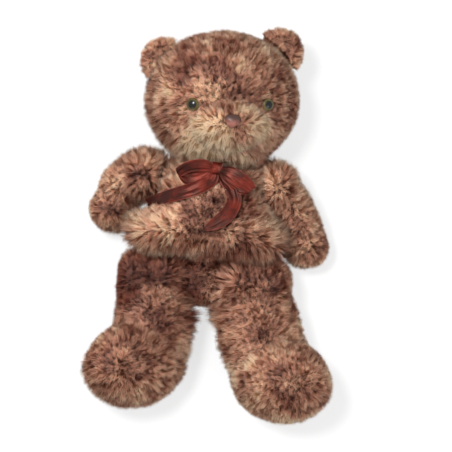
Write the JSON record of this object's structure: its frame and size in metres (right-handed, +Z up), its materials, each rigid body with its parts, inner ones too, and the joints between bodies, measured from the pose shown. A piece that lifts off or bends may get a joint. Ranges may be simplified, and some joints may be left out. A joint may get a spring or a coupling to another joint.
{
  "type": "jointed teddy bear",
  "caption": "Shaggy brown plush teddy bear lying on its back, with turning head, arms and legs on hidden disc joints, and a satin ribbon bow.",
  "frame": {"origin": "on the flat of the bear's back, under the middle of its belly", "axes": "+Z up through the belly as the bear lies, +Y from its feet to its head, +X to its own left"},
  "size_m": [0.2856, 0.4312, 0.1513],
  "materials": {
    "plush": "long tipped brown pile",
    "stuffing": "polyester fibre",
    "joint_plastic": "moulded, off-white",
    "washer_metal": "pressed spring steel",
    "eye_lens": "clear amber over black",
    "eye_black": "moulded, glossy",
    "nose_plastic": "satin brown",
    "ribbon": "dark red satin ribbon"
  },
  "bodies": {
    "torso": {"bow_knot": "ribbon", "bow_left_loop": "ribbon", "bow_left_tail": "ribbon", "bow_right_loop": "ribbon", "bow_right_tail": "ribbon", "left_hip_washer_disc": "joint_plastic", "left_shoulder_washer_disc": "joint_plastic", "neck_ribbon": "ribbon", "neck_washer_disc": "joint_plastic", "right_hip_washer_disc": "joint_plastic", "right_shoulder_washer_disc": "joint_plastic", "torso_cover": "plush", "torso_filling": "stuffing"},
    "head": {"head_cover": "plush", "head_filling": "stuffing", "left_ear": "plush", "left_eye_lens": "eye_lens", "left_eye_shank": "eye_black", "left_eye_washer": "joint_plastic", "neck_lock_ring": "washer_metal", "neck_post_disc": "joint_plastic", "nose": "nose_plastic", "nose_washer": "joint_plastic", "right_ear": "plush", "right_eye_lens": "eye_lens", "right_eye_shank": "eye_black", "right_eye_washer": "joint_plastic"},
    "left_arm": {"left_arm_cover": "plush", "left_arm_filling": "stuffing", "left_shoulder_lock_ring": "washer_metal", "left_shoulder_post_disc": "joint_plastic"},
    "right_arm": {"right_arm_cover": "plush", "right_arm_filling": "stuffing", "right_shoulder_lock_ring": "washer_metal", "right_shoulder_post_disc": "joint_plastic"},
    "left_leg": {"left_hip_lock_ring": "washer_metal", "left_hip_post_disc": "joint_plastic", "left_leg_cover": "plush", "left_leg_filling": "stuffing"},
    "right_leg": {"right_hip_lock_ring": "washer_metal", "right_hip_post_disc": "joint_plastic", "right_leg_cover": "plush", "right_leg_filling": "stuffing"}
  },
  "joints": [
    {"name": "neck", "type": "hinge", "parent": "torso", "child": "head", "pos_m": [0.006, 0.08, 0.066], "axis": [0, 1, 0], "continuous": true},
    {"name": "left_shoulder", "type": "hinge", "parent": "torso", "child": "left_arm", "pos_m": [0.052, 0.058, 0.045], "axis": [-1, 0, 0], "continuous": true},
    {"name": "right_shoulder", "type": "hinge", "parent": "torso", "child": "right_arm", "pos_m": [-0.052, 0.058, 0.045], "axis": [-1, 0, 0], "continuous": true},
    {"name": "left_hip", "type": "hinge", "parent": "torso", "child": "left_leg", "pos_m": [0.02, -0.054, 0.04], "axis": [-1, 0, 0], "range_deg": [-90, 85]},
    {"name": "right_hip", "type": "hinge", "parent": "torso", "child": "right_leg", "pos_m": [-0.02, -0.054, 0.04], "axis": [-1, 0, 0], "range_deg": [-90, 85]}
  ]
}
